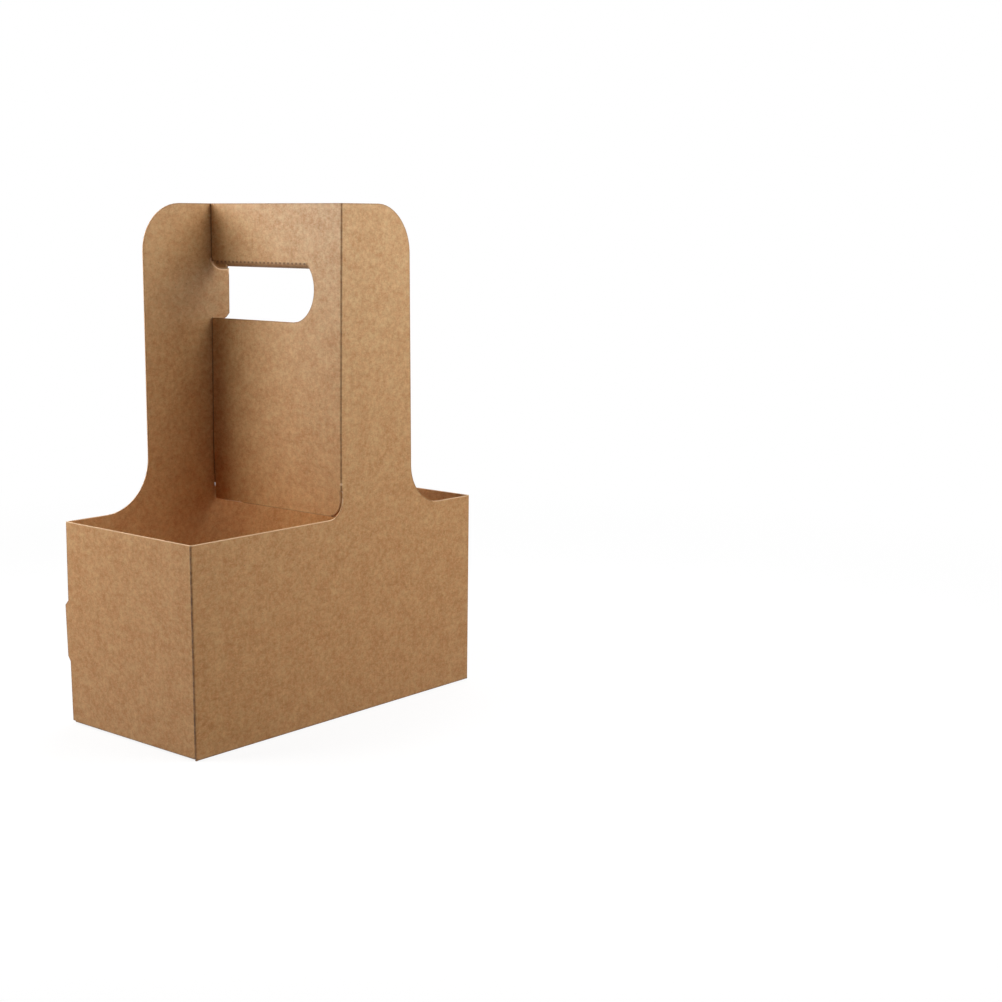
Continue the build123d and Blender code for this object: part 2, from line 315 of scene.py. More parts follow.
# Back side in its own frame, half a turn round. Its hole ends at the tab, which stays in the wing's plane.
def backSide():
    rim, top, hinge, lobe = carrier["rim"], carrier["top"], handHole["hinge"], handHole["lobeTop"]
    ease, reach = handHole["ease"], handHole["tabReach"]
    low = handHole["low"] - ease
    foot, corner, shift = carrier["foot"][1], carrier["wingCorner"], backShift
    cutTop = float(tabTop(-board / 2))
    lobeShare = np.array([0, 0.35, 1.0]) * (hinge - handHole["tabTop"]) / (lobe - handHole["tabTop"])
    lobeShare = np.append(lobeShare, 1.0)[:, None]
    firsts = [rim, rim + carrier["rimRise"], carrier["slitTop"], rim + foot, low, lobe, top - corner, top]
    shared = merged(firsts, *outlineRows(foot), clear=0.11)
    under = shared[shared <= low + tiny]
    over = shared[shared >= lobe - tiny]
    tabRows = graded(low, cutTop, 2.6)
    rows = np.concatenate([under, tabRows[1:], lerp(cutTop, lobe, lobeShare[1:, 0]), over[1:]])
    columns = wallAndWing(rows, carrier["wing"][1], foot, glueFoldX, -box["lockPlace"], shift, -1)
    wingFold(under[under >= rim + carrier["rimRise"] - tiny], shift, -1)
    wingFold(over, shift, -1)

    tabEnd = -carrier["halfWidth"] + board + reach
    nearAcross = graded(-cornerY, tabEnd, 1.6)
    nearShare = (nearAcross + cornerY) / (tabEnd + cornerY)
    layerBlock(lerp(rimClimb(under[:, None]) - cornerY, tabEnd, nearShare[None]), under, shift, -1)
    layerBlock(nearAcross, over, shift, -1)

    # The lobe between the tab's upper cut and the layer above, with its share of the fold
    foldDistance = lerp(-board / 2, board / 2, foldAngles / foldAngles[-1])
    wingFold(lerp(tabTop(foldDistance)[None], lobe, lobeShare), shift, -1)
    distance = nearAcross + cornerY + board / 2
    layerBlock(nearAcross + 0 * lobeShare, lerp(tabTop(distance)[None], lobe, lobeShare), shift, -1)

    farRows = np.concatenate([under, np.sort(holeHeights(ease))[1:-1], [hinge], over])
    end = -holeEnd(farRows[:, None], ease)
    farAcross = graded(end[0, 0], carrier["layerEnd"], carrier["step"])
    farShare = (farAcross - farAcross[0]) / (farAcross[-1] - farAcross[0])
    layerBlock(lerp(end, carrier["layerEnd"], farShare[None]), farRows, shift, -1)
    layerBlock(graded(tabEnd, end[0, 0], carrier["step"]), under, shift, -1)
    highAcross = graded(tabEnd, end[-1, 0], carrier["step"])
    layerBlock(highAcross, np.concatenate([[hinge], over]), shift, -1)
    holeFlap(highAcross, -tabEnd, handHole["bendInside"] + board / 2, ease, shift, -1)

    # The tab, from the fold to its cut-off lower corner
    across = graded(foldX, -reach, 1.5)
    heights = (tabRows - low) / (cutTop - low)
    lowEdge = low + np.clip(-across - (reach - handHole["tabCorner"]), 0, None)
    tabZ = lerp(lowEdge[None], tabTop(-across)[None], heights[:, None])
    addBlock(across[None], -wallY, tabZ, across[None] + shift, tabZ, -1)
    return columns


# Upright corner fold between two walls, a quarter circle, carried down past the lower folds.
def cornerFold(centreX, centreY, startAngle, flatStart):
    a = foldAngles[None]
    heights = np.concatenate([[box["cornerFoot"], baseFold], wallRows])[:, None]
    x = centreX + bend * np.cos(startAngle + a)
    y = centreY + bend * np.sin(startAngle + a)
    addBlock(x, y, heights, flatStart + bend * a, heights)


# Free edge of the left end wall at a height: straight, bowed a little, with the ear's steps.
def freeEdgeAt(height):
    ear = np.interp(height, earHeights, [e[1] for e in box["ear"]], left=0, right=0)
    return box["freeEdge"] + ear + box["edgeBulge"] * np.sin(math.pi * height / carrier["rim"])


# An end wall, its lower fold and its flap inside the box. side is -1 on the left and 1 on the right.
def endSide(side, flatStart):
    flapSide = wallY - board / 2 - box["flapMargin"]
    far = box["freeEdge"] if side < 0 else cornerY
    across = merged([-cornerY, -flapSide, flapSide, far], graded(-cornerY, far, carrier["step"]))
    z = wallRows[:, None]
    share = np.clip((across - flapSide) / (far - flapSide), 0, 1)[None]
    reach = freeEdgeAt(z) if side < 0 else np.full_like(z, far)
    y = np.where(share > 0, lerp(flapSide, reach, share), across[None] + 0 * z)
    addBlock(side * wallX, y, z, flatStart + side * (y + cornerY), z)

    inside = across[(across >= -flapSide - tiny) & (across <= flapSide + tiny)]
    a = foldAngles[:, None]
    foot = box["endFoot"]
    addBlock(side * (cornerX + bend * np.cos(a)), inside[None], foot - bend * np.sin(a),
             flatStart + side * (inside[None] + cornerY), foot - bend * a)
    out = graded(cornerX, carrier["halfLength"] - box["endFlap"], carrier["step"])[:, None]
    narrow = lerp(1.0, 1 - box["endFlapSlope"] / flapSide, (cornerX - out) / (cornerX - out[-1, 0]))
    y = inside[None] * narrow
    addBlock(side * out, y, foot - bend + 0 * y, flatStart + side * (y + cornerY),
             foot - quarter - (cornerX - out))


# Flap inside the left end wall, glued to it, with its fold from the back wall.
def glueFlap():
    low = board * 2 + box["glueMargin"]
    rows = wallRows[(wallRows > low) & (wallRows < carrier["rim"] - box["glueMargin"])]
    a = foldAngles[None]
    addBlock(glueFoldX + bend * np.sin(a), -cornerY - bend * np.cos(a), rows[:, None],
             glueFoldX + bend * a + backShift, rows[:, None], -1)
    along = graded(0, box["glueWidth"], 2.5)[None]
    slope = box["glueSlope"] * along / box["glueWidth"]
    up = (rows - rows[0]) / (rows[-1] - rows[0])
    z = lerp(rows[0] + slope, rows[-1] - slope, up[:, None])
    addBlock(glueFoldX + bend, -cornerY + along, z, glueFoldX + quarter + along + backShift, z, -1)


# Long flap of the base in its side's own frame. Left of the slit its tongue lies flat, and right of it
# the tongue climbs an S curve over the edge of the other flap.
def longFlap(columns, slit, shift, turn):
    half, depth = box["tongueEnd"], box["tongueDepth"]
    low = board / 2
    gap = box["tongueSlit"] / 2
    foot = -depth - box["tongueRun"] - box["tongueClimb"]
    inside = columns[(columns >= -flapEndX - tiny) & (columns <= flapEndX + tiny)]
    deep = graded(-cornerY, foot, carrier["step"])
    wide = graded(foot, -gap, carrier["step"])
    far = graded(-gap, depth, 1.5)

    def block(part, across, z):
        addBlock(part, across, z, part + shift, baseFold - quarter - (across + cornerY), turn)

    def between(a, b):
        return inside[(inside >= a - tiny) & (inside <= b + tiny)]

    block(inside[None], deep[:, None], low)
    block(between(-flapEndX, slit - gap)[None], wide[:, None], low)
    block(between(half + gap, flapEndX)[None], wide[:, None], low)

    # A tongue's far edge, with a round corner at the outer end
    def farEdge(part, corner):
        past = np.clip(box["tongueRound"] - np.abs(part - corner), 0, box["tongueRound"])
        return depth - box["tongueRound"] + np.sqrt(box["tongueRound"] ** 2 - past ** 2)

    share = (far - far[0]) / (far[-1] - far[0])
    flat = between(-half, slit - gap)
    block(flat[None], lerp(-gap, farEdge(flat, -half)[None], share[:, None]), low)
    raised = between(slit + gap, half - gap)
    across = np.concatenate([np.repeat(wide[:, None], len(raised), 1),
                             lerp(-gap, farEdge(raised, half - gap)[None], share[1:, None])])
    lift = (board + box["tongueGap"]) * smooth(foot, foot + box["tongueClimb"], across)
    block(raised[None], across, low + lift)


frontColumns = frontSide()
backColumns = backSide()
cornerFold(-cornerX, -cornerY, -math.pi, -cornerX - quarter)
cornerFold(cornerX, -cornerY, -math.pi / 2, cornerX)
cornerFold(cornerX, cornerY, 0.0, rightFlat + 2 * cornerY)
endSide(-1, -cornerX - quarter)
endSide(1, rightFlat)
glueFlap()
longFlap(frontColumns, box["lockPlace"], 0.0, 1)
longFlap(backColumns, -box["lockPlace"], backShift, -1)
print("sheet blocks:", len(sheetBlocks))


# Bows of the folded board, a smooth field of small moves. Walls and wings move in, by a hill of sine
# squares over each face. The centre panel takes an S in plan, and its two folds lean along X by straight
# steps between given heights. The right end wall leans in towards its foot.
def bowed(points):
    x, y, z = points.T
    rim, top, width, length = carrier["rim"], carrier["top"], carrier["halfWidth"], carrier["halfLength"]
    wallHill = np.sin(math.pi * np.clip(z / (rim + 18), 0, 1)) ** 2
    far, close = bows["wallBand"]
    nearLong = smooth(width - far, width - close, np.abs(y)) * np.sign(y)
    nearEnd = smooth(length - far, length - close, np.abs(x)) * np.sign(x)
    moveY = -nearLong * bows["longWall"] * wallHill * np.cos(math.pi * x / (2 * length)) ** 2
    moveX = -nearEnd * bows["endWall"] * wallHill * np.cos(math.pi * y / (2 * width)) ** 2
    wingX = np.clip(-np.sign(y) * x, 0, None)
    curl = smooth(rim + 12, top, z) * smooth(4, 50, wingX)
    moveY -= nearLong * bows["wing"] * curl
    towardsBack = np.clip(y / (2 * cornerY) + 0.5, 0, 1)
    lean = lerp(np.interp(z, *bows["frontLean"]), np.interp(z, *bows["backLean"]), towardsBack)
    moveX += lean * smooth(bows["leanReach"], 0, np.abs(x))
    moveX -= bows["endLean"] * np.clip(1 - z / rim, 0, 1) * smooth(bows["leanReach"], length, x)
    handle = np.sin(math.pi * np.clip((z - rim) / (top - rim), 0, 1)) ** 2
    moveX += bows["panel"] * handle * np.sin(math.pi * y / width) * smooth(*bows["panelBand"], np.abs(x))
    return points + np.stack([moveX, moveY, 0 * z], axis=-1)


# Joins the blocks into one mesh in metres, merges the points they share, and turns its faces outwards.
def joinBlocks():
    places, faces, count = [], [], 0
    for points, flat, flap in sheetBlocks:
        rows, cols = points.shape[:2]
        index = count + np.arange(rows * cols).reshape(rows, cols)
        quads = np.stack([index[:-1, :-1], index[:-1, 1:], index[1:, 1:], index[1:, :-1]], axis=-1)
        places.append(points.reshape(-1, 3))
        faces.append(quads.reshape(-1, 4))
        count += rows * cols
    flats = np.concatenate([flat.reshape(-1, 3) for points, flat, flap in sheetBlocks])
    flaps = np.concatenate([flap.ravel() for points, flat, flap in sheetBlocks])
    mesh = bpy.data.meshes.new("carrierSheet")
    mesh.from_pydata(bowed(np.concatenate(places)) * mm, [], np.concatenate(faces).tolist())
    blank = mesh.attributes.new("blank", "FLOAT_VECTOR", "POINT")
    blank.data.foreach_set("vector", flats.astype(np.float32).ravel())
    mesh.attributes.new("flap", "FLOAT", "POINT").data.foreach_set("value", flaps.astype(np.float32))
    work = bmesh.new()
    work.from_mesh(mesh)
    bmesh.ops.remove_doubles(work, verts=work.verts, dist=0.02 * mm)
    bmesh.ops.recalc_face_normals(work, faces=work.faces)
    wallPoint = Vector((-0.5 * cornerX, -wallY, 50)) * mm
    wallFace = min(work.faces, key=lambda face: (face.calc_center_median() - wallPoint).length)
    if wallFace.normal.y > 0:
        bmesh.ops.reverse_faces(work, faces=work.faces)
    work.to_mesh(mesh)
    work.free()
    return mesh


# Distance on the blank from each point to the nearest of many segments, and which one that is.
def nearestSegment(points, starts, ends):
    span = ends - starts
    squared = np.maximum((span ** 2).sum(1), 1e-12)
    distance, which = np.zeros(len(points)), np.zeros(len(points), int)
    for part in np.array_split(np.arange(len(points)), 60):
        away = points[part, None] - starts[None]
        along = np.clip((away * span).sum(2) / squared, 0, 1)
        gap = np.hypot(*np.moveaxis(away - along[..., None] * span, 2, 0))
        which[part], distance[part] = gap.argmin(1), gap.min(1)
    return distance, which


# Scored lines on the blank: start, end, and how dark the score is. That darkness is partly the pressed
# board's own and partly painted shade of the fold's groove, and on the back fold painted shade of its
# concave corner. The first is the front left corner's, which was pressed a little to one side of its fold.
def scoredLines():
    rim, top, slitTop = carrier["rim"], carrier["top"], carrier["slitTop"]
    lowLine, endLine = baseFold - quarter / 2, box["endFoot"] - quarter / 2
    leftEdge, rightEdge = -cornerX - quarter, rightFlat + 2 * cornerY
    frontFold = foldX - quarter / 2
    backFold, glueFold = frontFold + backShift, glueFoldX + quarter / 2 + backShift
    hinge, frontLayer = handHole["hinge"], foldX - quarter - cornerY
    backLayer = backShift + foldX - quarter
    frontEnd, backEnd = float(holeEnd(hinge, 0)), float(holeEnd(hinge, handHole["ease"]))
    return np.array([
        (leftEdge + quarter / 2 - 0.35, 0, leftEdge + quarter / 2 - 0.35, rim - 0.7, 1.0),
        (cornerX + quarter / 2, 0, cornerX + quarter / 2, rim, 0.45),
        (rightEdge + quarter / 2, 0, rightEdge + quarter / 2, rim, 0.45),
        (frontFold, slitTop, frontFold, top, 0.6),
        (backFold, slitTop, backFold, handHole["low"], 0.9),
        (backFold, handHole["lobeTop"], backFold, top, 0.9),
        (-cornerX, lowLine, cornerX, lowLine, 0.5),
        (backShift - cornerX, lowLine, backShift + cornerX, lowLine, 0.5),
        (leftEdge - 2 * cornerY, endLine, leftEdge, endLine, 0.5),
        (rightFlat, endLine, rightEdge, endLine, 0.5),
        (glueFold, 4, glueFold, rim - 3, 0.4),
        (frontLayer - handHole["flapEnd"], hinge, frontLayer - frontEnd, hinge, 0.3),
        (backShift + frontLayer + backEnd, hinge, backLayer - handHole["tabReach"], hinge, 0.3),
    ])


# Where the marks of cutting and folding lie, in mm on the blank
marked = {
    "rimBand": 0.7,            # a cut this near the rim's height is the rim
    "climb": (9.0, 10.0),      # the rim's climb: height above the rim, and distance from the fold
    "tab": (12.0, 206.0, 214.5),   # the cut above the tab: distance from the fold, and its heights
    "tabHighlight": 2.8,          # that cut's fringe, a painted highlight, against the rim's
    "flapBendShade": (5.5, 4.0),     # the painted shade on the flap's bend fades out between these, below the hinge
    "perforated": 4.0,         # the perforation's marks lie this near the hinge
}


# Puts on the sheet what its finish needs: how near each point is to a cut and to a score, how pale and wide
# the cut's fringe is, where the hinge is perforated, and where the flap's bend gets painted shade.
def markSheet(mesh):
    flat = np.zeros(len(mesh.vertices) * 3, np.float32)
    mesh.attributes["blank"].data.foreach_get("vector", flat)
    flat = flat.reshape(-1, 3)[:, :2].astype(float)
    corners = np.zeros(len(mesh.loops), np.int32)
    mesh.loops.foreach_get("edge_index", corners)
    ends = np.zeros(len(mesh.edges) * 2, np.int32)
    mesh.edges.foreach_get("vertices", ends)
    cut = ends.reshape(-1, 2)[np.bincount(corners, minlength=len(mesh.edges)) == 1]
    cutDistance, which = nearestSegment(flat, flat[cut[:, 0]], flat[cut[:, 1]])
    middle = flat[cut].mean(axis=1)[which]

    # The rim gets a pale fringe, partly torn fibre and partly painted highlight of its lit cut edge; the
    # tab's top gets a wider one that is painted highlight; other edges get hardly any
    rim = carrier["rim"]
    places = np.zeros(len(mesh.vertices) * 3, np.float32)
    mesh.vertices.foreach_get("co", places)
    x, y = places.reshape(-1, 3)[:, :2].T / mm
    cutX, cutZ = middle.T
    onLayer = (np.abs(x) < 1.2) & (np.abs(y) < cornerY + 0.05)
    above, beside = marked["climb"]
    onClimb = (cutZ < rim + above) & (np.abs((cutX % backShift) - foldX) < beside)
    beside, lowest, highest = marked["tab"]
    onTab = (np.abs(cutX - backShift) < beside) & (cutZ > lowest) & (cutZ < highest)
    pale = (np.abs(cutZ - rim) < marked["rimBand"]) | (onClimb & (cutZ > rim - 0.5))
    pale = np.where(onTab, marked["tabHighlight"], pale & ~onLayer)
    lines = scoredLines()
    scoreDistance, score = nearestSegment(flat, lines[:, :2], lines[:, 2:4])
    hinge = (score >= len(lines) - 2) & (scoreDistance < marked["perforated"])

    # Painted shade on the flap's bend over its first few mm, where it curls under and faces down
    flap = np.zeros(len(mesh.vertices), np.float32)
    mesh.attributes["flap"].data.foreach_get("value", flap)
    below = handHole["hinge"] - flat[:, 1]
    flapBendShade = flap * smooth(-0.05, 0.3, below) * smooth(*marked["flapBendShade"], below)
    mesh.attributes.remove(mesh.attributes["flap"])
    found = {"flapBendShade": flapBendShade, "cutDistance": cutDistance, "cutPale": pale, "perforated": hinge,
             "scoreDistance": scoreDistance, "scoreDepth": lines[score, 4]}
    for name, values in found.items():
        layer = mesh.attributes.new(name, "FLOAT", "POINT")
        layer.data.foreach_set("value", np.asarray(values, np.float32))


# Gives the sheet its thickness, cut faces in the second material, with sharp cut edges and smooth folds.
def thicken(mesh):
    piece = bpy.data.objects.new("carrierSheet", mesh)
    bpy.context.scene.collection.objects.link(piece)
    solid = piece.modifiers.new("thickness", "SOLIDIFY")
    solid.thickness = board * mm
    solid.offset = 0
    solid.use_even_offset = True
    solid.material_offset_rim = 1
    whole = bpy.data.meshes.new_from_object(piece.evaluated_get(bpy.context.evaluated_depsgraph_get()))
    piece.modifiers.clear()
    piece.data = whole
    whole.name = "carrierSheet"

    # The lean lifts no point above the top edge
    places = np.zeros(len(whole.vertices) * 3, np.float32)
    whole.vertices.foreach_get("co", places)
    places[2::3] = np.clip(places[2::3], 0, carrier["top"] * mm)
    whole.vertices.foreach_set("co", places)

    # The second half of the points is the sheet's other side, which has other fibres
    flat = np.zeros(len(whole.vertices) * 3, np.float32)
    whole.attributes["blank"].data.foreach_get("vector", flat)
    flat = flat.reshape(-1, 3)
    flat[len(mesh.vertices):, 2] = carrier["otherSide"]
    whole.attributes["blank"].data.foreach_set("vector", flat.ravel())
    whole.shade_smooth()
    whole.set_sharp_from_angle(angle=math.radians(35))
    return piece


sheetMesh = joinBlocks()
markSheet(sheetMesh)
for name in ("brownBoard", "cutBoard"):
    sheetMesh.materials.append(bpy.data.materials.new(name))
sheet = thicken(sheetMesh)
print("sheet mesh:", len(sheet.data.vertices), "points,", len(sheet.data.polygons), "faces")

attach(sheet, "root")
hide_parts("cup_carrier")


# Adds a shader node. Its inputs are given by name or number, as plain values or as sockets to link.
def addNode(tree, kind, values=None, **settings):
    node = tree.nodes.new("ShaderNode" + kind)
    for name, value in settings.items():
        setattr(node, name, value)
    for name, value in (values or {}).items():
        if isinstance(value, bpy.types.NodeSocket):
            tree.links.new(value, node.inputs[name])
        else:
            node.inputs[name].default_value = value
    return node


def maths(tree, operation, *values, clamp=False):
    node = addNode(tree, "Math", dict(enumerate(values)), operation=operation, use_clamp=clamp)
    return node.outputs[0]


# A value that goes from one level to another as the input passes between two limits, with an S curve.
def ramped(tree, value, fromLow, fromHigh, toLow=0.0, toHigh=1.0):
    return addNode(tree, "MapRange", {0: value, 1: fromLow, 2: fromHigh, 3: toLow, 4: toHigh},
                   interpolation_type="SMOOTHSTEP").outputs[0]


def mixed(tree, factor, first, second, blend="MIX"):
    values = {0: factor, 6: first, 7: second}
    return addNode(tree, "Mix", values, data_type="RGBA", blend_type=blend).outputs[2]


def noise(tree, place, scale, detail, roughness):
    values = {"Vector": place, "Scale": scale, "Detail": detail, "Roughness": roughness}
    return addNode(tree, "TexNoise", values, noise_dimensions="3D").outputs[0]


# Noises of the board: scale per mm, detail and roughness. Strands are turned and stretched ones.
fibreNoise = {
    "clouds": (0.11, 3, 0.55),
    "mottle": (0.4, 3, 0.6),
    "grain": (0.95, 2, 0.65),
    "hue": (0.45, 3, 0.6),
    "worn": (0.35, 2, 0.5),
    "strand": (1.0, 1, 0.5),
}
strandTurns = {0.5: (0.5, 3.4, 1), -0.8: (0.55, 3.8, 1), 1.5: (0.4, 3.0, 1)}   # radians, and stretch


# Fibre board's surface, from a place in mm: Tone is its mottling, from deep to pale, Hue goes from
# reddish to yellowish, Dark and Pale are its few specks, and Height is the relief of its fibres.
def fibreGroup():
    tree = bpy.data.node_groups.new("boardFibres", "ShaderNodeTree")
    for name, kind, start in (("Place", "NodeSocketVector", (0, 0, 0)), ("Clouds", "NodeSocketFloat", 0.95),
                              ("Mottle", "NodeSocketFloat", 1.5), ("Grain", "NodeSocketFloat", 1.1)):
        tree.interface.new_socket(name, in_out="INPUT", socket_type=kind).default_value = start
    for name in ("Tone", "Hue", "Dark", "Pale", "Height"):
        tree.interface.new_socket(name, in_out="OUTPUT", socket_type="NodeSocketFloat")
    given = tree.nodes.new("NodeGroupInput")
    result = tree.nodes.new("NodeGroupOutput")
    place = given.outputs["Place"]

    def part(value, strength):
        return maths(tree, "MULTIPLY", maths(tree, "SUBTRACT", value, 0.5), strength)

    clouds = noise(tree, place, *fibreNoise["clouds"])
    mottle = noise(tree, place, *fibreNoise["mottle"])
    grain = noise(tree, place, *fibreNoise["grain"])
    fibres = []
    for turn, stretch in strandTurns.items():
        turned = addNode(tree, "Mapping", {0: place, 2: (0, 0, turn), 3: stretch}).outputs[0]
        fibres.append(noise(tree, turned, *fibreNoise["strand"]))
    strands = maths(tree, "MAXIMUM", maths(tree, "MAXIMUM", fibres[0], fibres[1]), fibres[2])
    tone = maths(tree, "ADD", part(clouds, given.outputs["Clouds"]), part(mottle, given.outputs["Mottle"]))
    tone = maths(tree, "ADD", tone, part(grain, given.outputs["Grain"]))
    tone = maths(tree, "ADD", tone, part(ramped(tree, strands, 0.6, 0.76), 0.42))
    tone = maths(tree, "ADD", tone, 0.68, clamp=True)
    tree.links.new(tone, result.inputs["Tone"])
    shifted = addNode(tree, "VectorMath", {0: place, 1: (17.0, 9.0, 3.0)}, operation="ADD").outputs[0]
    hue = ramped(tree, noise(tree, shifted, *fibreNoise["hue"]), 0.35, 0.65)
    tree.links.new(hue, result.inputs["Hue"])

    # One speck at most in each cell of a few mm, kept where the cell's own random colour says so
    cells = addNode(tree, "TexVoronoi", {"Vector": place, "Scale": 0.3})
    wobble = maths(tree, "MULTIPLY_ADD", grain, 0.12, cells.outputs["Distance"])
    spot = ramped(tree, wobble, 0.1, 0.17, 1.0, 0.0)
    pick = addNode(tree, "SeparateColor", {0: cells.outputs["Color"]})
    for name, low, high, channel in (("Dark", 0.86, 0.9, 0), ("Pale", 0.72, 0.8, 1)):
        tree.links.new(maths(tree, "MULTIPLY", spot, ramped(tree, pick.outputs[channel], low, high)),
                       result.inputs[name])
    relief = maths(tree, "MULTIPLY_ADD", strands, 0.6, maths(tree, "MULTIPLY", grain, 0.5))
    tree.links.new(relief, result.inputs["Height"])
    return tree


fibres = fibreGroup()

# Finish of the brown board. Colours are linear, and lengths are in mm.
finish = {
    "deep": (0.445, 0.2, 0.062, 1),
    "pale": (0.652, 0.39, 0.175, 1),
    "reddish": (1.025, 0.98, 0.96, 1),
    "yellowish": (0.985, 1.012, 1.015, 1),
    "footShadeTint": (1.0, 0.925, 0.83, 1),     # painted light: warmer and darker at the foot and paler at the top, standing in for sheen up high
    "topSheenTint": (1.0, 1.075, 1.16, 1),
    "speckDark": (0.2, 0.095, 0.035, 1),
    "speckPale": (0.75, 0.49, 0.28, 1),
    "score": (0.13, 0.058, 0.02, 1),
    "flapBendShade": (0.2, 0.1, 0.055, 1),
    "cut": (0.86, 0.6, 0.36, 1),
    "cutDeep": (0.66, 0.42, 0.22, 1),
    "nicks": ((foldX - 0.1, 107.6, 0), (foldX - 0.1, 104.0, 0), (foldX - 0.4, 111.4, 0)),
    "sheenTintFrom": 20.0,          # height where the painted sheen and shade tint starts to change
    "fringe": 0.32,            # width of the pale fringe on the face beside a cut
    "scoreWidth": 0.55,
    "perforation": 2.7,        # from one cut of the perforated line to the next
    "roughness": (0.46, 0.56),
    "relief": 0.008,
    "bumpStrength": 0.5,
    "specular": 0.5,
    "cutRoughness": 0.95,
}


# A material's empty tree with its output and a matt board shader.
def boardShader(material):
    material.use_nodes = True
    tree = material.node_tree
    tree.nodes.clear()
    shader = addNode(tree, "BsdfPrincipled", {"Specular IOR Level": finish["specular"]})
    output = addNode(tree, "OutputMaterial")
    tree.links.new(shader.outputs[0], output.inputs["Surface"])
    return tree, shader


def addRelief(tree, shader, height):
    values = {"Strength": finish["bumpStrength"], "Distance": finish["relief"] * mm, "Height": height}
    bump = addNode(tree, "Bump", values)
    tree.links.new(bump.outputs[0], shader.inputs["Normal"])


# A value that the sheet carries: its place on the blank, or one of its marks.
def attribute(tree, name):
    node = addNode(tree, "Attribute", attribute_name=name, attribute_type="GEOMETRY")
    return node.outputs["Vector"] if name == "blank" else node.outputs["Fac"]


def boardFinish(material):
    tree, shader = boardShader(material)
    place = attribute(tree, "blank")
    group = addNode(tree, "Group", node_tree=fibres)
    tree.links.new(place, group.inputs["Place"])
    colour = mixed(tree, group.outputs["Tone"], finish["deep"], finish["pale"])
    hue = mixed(tree, group.outputs["Hue"], finish["reddish"], finish["yellowish"])
    colour = mixed(tree, 1.0, colour, hue, "MULTIPLY")
    across, up = addNode(tree, "SeparateXYZ", {0: place}).outputs[:2]
    # Painted light: the colour is warmer and darker at the foot and paler towards the top, standing in for
    # sheen on the upper parts
    height = ramped(tree, up, finish["sheenTintFrom"], carrier["top"])
    tint = mixed(tree, height, finish["footShadeTint"], finish["topSheenTint"])
    colour = mixed(tree, 1.0, colour, tint, "MULTIPLY")
    colour = mixed(tree, maths(tree, "MULTIPLY", group.outputs["Dark"], 0.6), colour, finish["speckDark"])
    colour = mixed(tree, maths(tree, "MULTIPLY", group.outputs["Pale"], 0.4), colour, finish["speckPale"])

    # Scores are darker, partly as pressed board and partly as painted shade in the fold's groove and
    # concave corner, more in some places than in others
    distance = attribute(tree, "scoreDistance")
    worn = ramped(tree, noise(tree, place, *fibreNoise["worn"]), 0.3, 0.65, 0.55, 1.0)
    scoreDarkAndShade = ramped(tree, distance, 0.1, finish["scoreWidth"], 1.0, 0.0)
    scoreDarkAndShade = maths(tree, "MULTIPLY", scoreDarkAndShade, attribute(tree, "scoreDepth"))
    depth = maths(tree, "MULTIPLY", scoreDarkAndShade, worn)
    # painted shade in the scores' grooves, with the pressed board's own darkening
    colour = mixed(tree, depth, colour, finish["score"])

    # painted shade where the flap curls under at the hinge
    flapBendShade = maths(tree, "MULTIPLY", attribute(tree, "flapBendShade"), 0.5)
    colour = mixed(tree, flapBendShade, colour, finish["flapBendShade"])

    # The perforated line: short cuts at even steps along the blank, painted dark as painted shade inside
    # the cuts
    share = maths(tree, "FRACT", maths(tree, "DIVIDE", across, finish["perforation"]))
    begins, ends = ramped(tree, share, 0.02, 0.14), ramped(tree, share, 0.5, 0.64, 1.0, 0.0)
    dash = maths(tree, "MULTIPLY", begins, ends)
    slit = maths(tree, "MULTIPLY", dash, ramped(tree, distance, 0.25, 0.6, 1.0, 0.0))
    slit = maths(tree, "MULTIPLY", slit, attribute(tree, "perforated"))
    # painted shade inside the perforation's cuts
    colour = mixed(tree, maths(tree, "MULTIPLY", slit, 0.75), colour, finish["score"])

    # Beside the rim the face is pale, partly torn fibre and partly painted highlight of the lit cut edge,
    # and beside the tab's top it is a painted highlight; beside other cuts it is slightly darker
    cut, palePart = attribute(tree, "cutDistance"), attribute(tree, "cutPale")
    width = maths(tree, "MULTIPLY", palePart, finish["fringe"])
    nearCut = maths(tree, "DIVIDE", cut, maths(tree, "MAXIMUM", width, 0.001))
    isPale = ramped(tree, palePart, 0.3, 0.9)
    # pale band by the rim and the tab's top: partly torn fibre, partly painted highlight
    paleFringeAndHighlight = maths(tree, "MULTIPLY", ramped(tree, nearCut, 0.5, 1.4, 1.0, 0.0), isPale)
    plainCut = maths(tree, "SUBTRACT", 1.0, palePart, clamp=True)
    # slightly darker within 0.7 mm of cuts that have no pale fringe
    darkBesideCut = maths(tree, "MULTIPLY", ramped(tree, cut, 0.2, 0.7, 0.45, 0.0), plainCut)
    colour = mixed(tree, darkBesideCut, colour, finish["speckDark"])
    colour = mixed(tree, paleFringeAndHighlight, colour, finish["cut"])

    # Small torn spots at the slit under the front fold
    for nick in finish["nicks"]:
        away = addNode(tree, "VectorMath", {0: place, 1: nick}, operation="DISTANCE").outputs["Value"]
        colour = mixed(tree, ramped(tree, away, 0.35, 0.8, 0.85, 0.0), colour, finish["cut"])
    tree.links.new(colour, shader.inputs["Base Color"])
    tree.links.new(ramped(tree, group.outputs["Tone"], 0.3, 0.7, *finish["roughness"][::-1]),
                   shader.inputs["Roughness"])
    relief = maths(tree, "SUBTRACT", group.outputs["Height"], maths(tree, "MULTIPLY", slit, 2.0))
    addRelief(tree, shader, relief)


